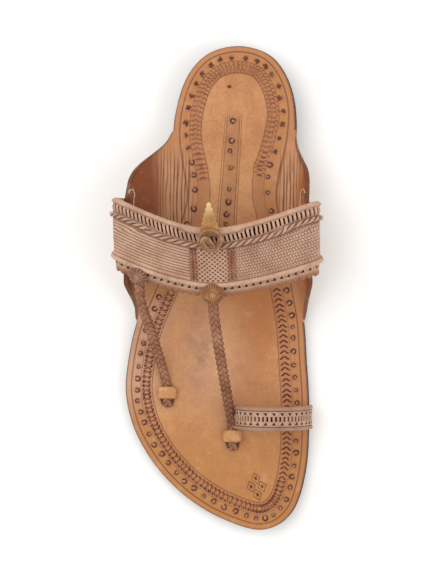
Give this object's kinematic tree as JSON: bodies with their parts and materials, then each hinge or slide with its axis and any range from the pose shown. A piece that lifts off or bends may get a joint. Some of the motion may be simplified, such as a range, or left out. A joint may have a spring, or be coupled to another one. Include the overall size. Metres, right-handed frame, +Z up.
{
  "type": "kolhapuri sandal",
  "caption": "Flat leather toe-loop sandal for the right foot, with a wide tooled instep band on bent-up insole ears, braided straps to the forefoot and a low rubber heel.",
  "frame": {"origin": "middle of the heel cap's flat bottom face, on the floor", "axes": "+Z up, +Y from heel to toe, -X towards the medial side (big toe), +X towards the lateral side"},
  "size_m": [0.1255, 0.29, 0.0789],
  "materials": {
    "outsole_leather": "vegetable-tanned brown leather, matt nap underneath with a burnished darker border",
    "heel_rubber": "matt black moulded rubber",
    "insole_leather": "oiled tan buffalo leather, soft sheen, stamped borders",
    "strap_leather": "tooled and braided pinkish tan leather, dull sheen",
    "gold_tab": "pale gold serrated tab"
  },
  "bodies": {
    "root": {"outsole": "outsole_leather", "heel_lift": "outsole_leather", "heel_cap": "heel_rubber", "insole": "insole_leather", "upper_straps": "strap_leather", "pinked_strip": "strap_leather", "rosette_centre": "strap_leather", "rosette_side": "strap_leather", "knot": "strap_leather", "knot_tab": "gold_tab", "bridge_centre": "insole_leather", "bridge_side": "insole_leather"}
  },
  "joints": []
}
